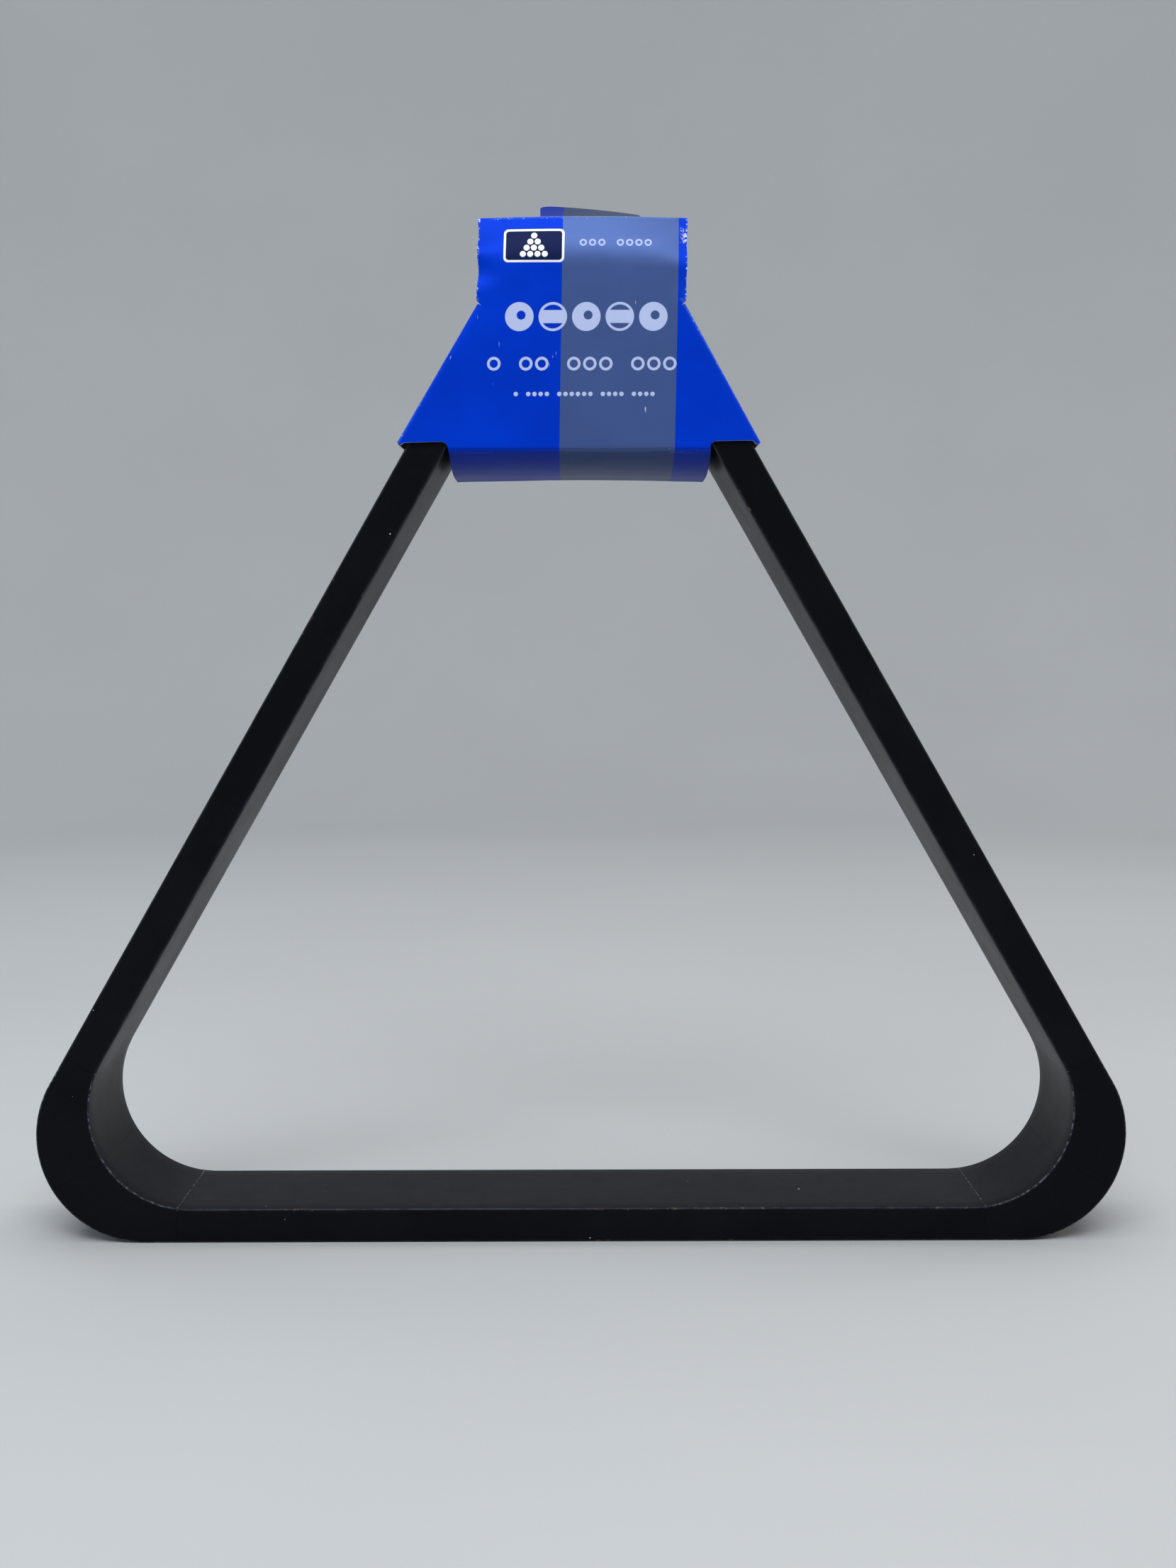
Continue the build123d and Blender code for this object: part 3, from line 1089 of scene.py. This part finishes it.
def make_sleeve(card, wood, materials):
    """The folded sleeve, with the window that the tongue leaves in its top."""
    blank = Blank(card, wood)
    crease = blank.front_fold - WINDOW_GAP
    window = [(x, crease - out) for x, out in tongue_outline(card, WINDOW_GAP)]
    sleeve = folded_sheet(
        "printed_sleeve",
        blank.outline(),
        blank.inside_points(MESH_STEP),
        blank.fold,
        card.thickness,
        materials,
        window,
    )
    dress(sleeve, "card_sleeve")


def make_tongue(card, wood, materials):
    """The tongue, sprung up on its crease and a little twisted."""
    outline = tongue_outline(card)
    raised = math.radians(-TONGUE_FOLD["range_deg"][0])
    middle = (TONGUE_LEFT + TONGUE_RIGHT) / 2
    half = (TONGUE_RIGHT - TONGUE_LEFT) / 2
    blank = Blank(card, wood)

    def fold(across, out):
        share = (middle - across) / half
        lift = raised + card.tongue_twist / 2 * share * (out / card.tongue_length) ** 0.6
        curl = 0.5 * (out / card.tongue_length) ** 2 - 0.35 * share**2 * out / card.tongue_length
        y = HINGE.y + out * math.cos(lift)
        z = HINGE.z + card.thickness / 2 + out * math.sin(lift) + curl
        flat = Vector((across, HINGE.y + out, SLEEVE_TOP))
        shift = blank.settle(flat) + skewed(flat, card) - flat
        return Vector((across, y, z)) + shift

    step = 1.1
    columns = math.ceil((TONGUE_RIGHT - TONGUE_LEFT) / step) + 1
    rows = math.ceil(card.tongue_length / step)
    places = [(TONGUE_LEFT + i * step, (j + 1) * step) for i in range(columns) for j in range(rows)]
    tongue = folded_sheet("raised_tongue", outline, places, fold, card.thickness, materials)
    if sum(face.normal.z * face.area for face in tongue.data.polygons if face.material_index == 0) < 0:
        tongue.data.flip_normals()
    dress(tongue, "top_tongue")


# --- Operators ----------------------------------------------------------------------------------


class RACK_OT_rails(bpy.types.Operator):
    """Make the three painted rails"""

    bl_idname = "rack.rails"
    bl_label = "Rails"

    def execute(self, context):
        wood = context.scene.rack_wood
        for side, angle in SIDES.items():
            make_rail(side, wood, paint(side, -angle, wood))
        return {"FINISHED"}


class RACK_OT_corners(bpy.types.Operator):
    """Make the six halves of the corner blocks"""

    bl_idname = "rack.corners"
    bl_label = "Corner blocks"

    def execute(self, context):
        wood = context.scene.rack_wood
        for name, (side, _) in CORNER_HALVES.items():
            make_corner_half(name, wood, bpy.data.materials[f"black_paint_{side}"])
        return {"FINISHED"}


class RACK_OT_joinery(bpy.types.Operator):
    """Give the hidden dowels and splines their bare wood"""

    bl_idname = "rack.joinery"
    bl_label = "Joinery"

    def execute(self, context):
        wood = context.scene.rack_wood
        tone = tuple(wood.beech)
        for side, angle in SIDES.items():
            beech = bare_wood(f"beech_{side}", tone, -angle)
            for joint in (name for name, (own, _) in CORNER_HALVES.items() if own == side):
                for place in PLACES:
                    finish_node(f"dowel_{joint}_{place}", beech)
        ply = bare_wood("birch_ply", tinted(tone, 1.15), 90)
        for corner in CORNERS:
            finish_node(f"spline_{corner}", ply)
        return {"FINISHED"}


def finish_node(node, material):
    """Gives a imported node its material."""
    slots = frame["nodes"][node].material_slots
    if not slots:
        raise RuntimeError(f"{node} has no material slot")
    for slot in slots:
        slot.material = material


class RACK_OT_sleeve(bpy.types.Operator):
    """Make the printed card sleeve"""

    bl_idname = "rack.sleeve"
    bl_label = "Card sleeve"

    def execute(self, context):
        card, wood = context.scene.rack_card, context.scene.rack_wood
        board = tuple(card.board)
        printed = printed_card("printed_card", card, wood, 1.0)
        inner = card_board("board_back", board)
        rim = card_board("board_rim", tinted(board, 1.2))
        make_sleeve(card, wood, [printed, inner, rim])
        return {"FINISHED"}


class RACK_OT_tongue(bpy.types.Operator):
    """Make the tongue that stands up behind the sleeve's top fold"""

    bl_idname = "rack.tongue"
    bl_label = "Tongue"

    def execute(self, context):
        card, wood = context.scene.rack_card, context.scene.rack_wood
        # Painted shade: the tongue's print is the sleeve's print darkened to 0.45 of its colour
        painted_shading = printed_card("rubbed_card", card, wood, 0.45)
        boards = [bpy.data.materials[name] for name in ("board_back", "board_rim")]
        make_tongue(card, wood, [painted_shading, *boards])
        return {"FINISHED"}


class RACK_OT_stage(bpy.types.Operator):
    """Make the floor, the backdrop, the lights and the camera"""

    bl_idname = "rack.stage"
    bl_label = "Stage"

    def execute(self, context):
        stage = context.scene.rack_stage
        make_backdrop(stage)
        make_lights(context, stage)
        make_camera(context, stage)
        return {"FINISHED"}


def make_backdrop(stage):
    """A round floor that curves up into a wall all round the rack, in metres."""
    flat, bend, height = 1.15, 0.75, 2.0
    around, bend_steps = 72, 16
    profile = [(0.05, 0.0), (flat, 0.0)]
    for step in range(1, bend_steps + 1):
        turn = math.radians(90 * step / bend_steps)
        profile.append((flat + bend * math.sin(turn), bend - bend * math.cos(turn)))
    profile.append((flat + bend, height))
    vertices = [(0.0, 0.0, 0.0)]
    for reach, z in profile:
        for step in range(around):
            turn = 2 * math.pi * step / around
            vertices.append((reach * math.cos(turn), reach * math.sin(turn), z))
    faces = [(0, 1 + k, 1 + (k + 1) % around) for k in range(around)]
    for ring in range(len(profile) - 1):
        low = 1 + ring * around
        for k in range(around):
            after = (k + 1) % around
            faces.append((low + k, low + around + k, low + around + after, low + after))
    mesh = bpy.data.meshes.new("backdrop")
    mesh.from_pydata(vertices, [], faces)
    mesh.shade_smooth()
    backdrop = bpy.data.objects.new("backdrop", mesh)
    bpy.context.collection.objects.link(backdrop)
    shader = Shader("pale_floor")
    here = shader.place()
    soft = shader.noise(here, 0.004, 3.0)
    tone = tuple(stage.floor)
    base = shader.mix(soft.ramp(0.3, 0.7), tinted(tone, 0.96), tone)
    normal = shader.bump(shader.noise(here, 0.5, 3.0), 0.05)
    mesh.materials.append(shader.finish(Base_Color=base, Roughness=0.7, Normal=normal))


def area_light(context, name, place, target, size, power, tint):
    """A soft rectangular lamp, hidden from the camera, that looks at a target; metres and watts."""
    data = bpy.data.lights.new(name, "AREA")
    data.shape = "RECTANGLE"
    data.size, data.size_y = size
    data.energy = power
    data.color = tint
    lamp = bpy.data.objects.new(name, data)
    lamp.location = place
    aim = Vector(target) - Vector(place)
    lamp.rotation_euler = aim.to_track_quat("-Z", "Y").to_euler()
    lamp.visible_camera = False
    context.collection.objects.link(lamp)


def make_lights(context, stage):
    """A broad light overhead, one in front, and soft light from both sides."""
    world = bpy.data.worlds.new("studio")
    world.use_nodes = True
    background = world.node_tree.nodes["Background"]
    background.inputs["Color"].default_value = (*stage.sky, 1.0)
    background.inputs["Strength"].default_value = stage.sky_strength
    context.scene.world = world
    centre = (0, 0, 0.2)
    area_light(context, "key", (-0.1, -0.95, 1.25), centre, (1.3, 0.6), 15, (1.0, 0.99, 0.97))
    area_light(context, "overhead", (0.0, 0.1, 1.9), (0, 0.1, 0), (2.2, 2.0), 26, (1.0, 0.98, 0.95))
    area_light(context, "left_soft", (-1.4, -0.1, 0.7), centre, (0.7, 0.9), 3, (0.85, 0.92, 1.0))
    area_light(context, "right_warm", (1.3, 0.3, 0.8), centre, (0.6, 0.8), 4, (1.0, 0.88, 0.74))
    context.scene.view_settings.view_transform = "Standard"


def make_camera(context, stage):
    """The camera in front of the rack, looking a little down."""
    data = bpy.data.cameras.new("camera")
    data.sensor_width = 36.0
    data.lens = stage.lens
    data.clip_start = 0.01
    camera = bpy.data.objects.new("camera", data)
    off_centre = 0.0006
    camera.location = (off_centre, -stage.camera_distance, stage.camera_height)
    down, aside, roll = 4.54, 0.17, 0.12
    level = Matrix.Rotation(math.radians(90 - down), 4, "X")
    turn = Matrix.Rotation(math.radians(-aside), 4, "Z")
    lean = Matrix.Rotation(math.radians(-roll), 4, "Z")
    camera.rotation_euler = (turn @ level @ lean).to_euler()
    context.collection.objects.link(camera)
    context.scene.camera = camera


class RACK_PT_panel(bpy.types.Panel):
    """The rack's pieces, in the order in which they are made"""

    bl_label = "Triangle rack"
    bl_space_type = "VIEW_3D"
    bl_region_type = "UI"
    bl_category = "Rack"

    def draw(self, context):
        for operator in OPERATORS:
            self.layout.operator(operator.bl_idname)
        for group in ("rack_wood", "rack_card", "rack_stage"):
            settings = getattr(context.scene, group)
            box = self.layout.box()
            for key in settings.__annotations__:
                box.prop(settings, key)


OPERATORS = (
    RACK_OT_rails,
    RACK_OT_corners,
    RACK_OT_joinery,
    RACK_OT_sleeve,
    RACK_OT_tongue,
    RACK_OT_stage,
)
GROUPS = {"rack_wood": WoodSettings, "rack_card": CardSettings, "rack_stage": StageSettings}


def register():
    for group in GROUPS.values():
        bpy.utils.register_class(group)
    for name, group in GROUPS.items():
        setattr(bpy.types.Scene, name, PointerProperty(type=group))
    for operator in OPERATORS:
        bpy.utils.register_class(operator)
    bpy.utils.register_class(RACK_PT_panel)


def unregister():
    bpy.utils.unregister_class(RACK_PT_panel)
    for operator in reversed(OPERATORS):
        bpy.utils.unregister_class(operator)
    for name, group in GROUPS.items():
        delattr(bpy.types.Scene, name)
        bpy.utils.unregister_class(group)


def main():
    """Registers the add-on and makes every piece."""
    register()
    for operator in OPERATORS:
        area, name = operator.bl_idname.split(".")
        getattr(getattr(bpy.ops, area), name)()


if __name__ == "__main__":
    main()
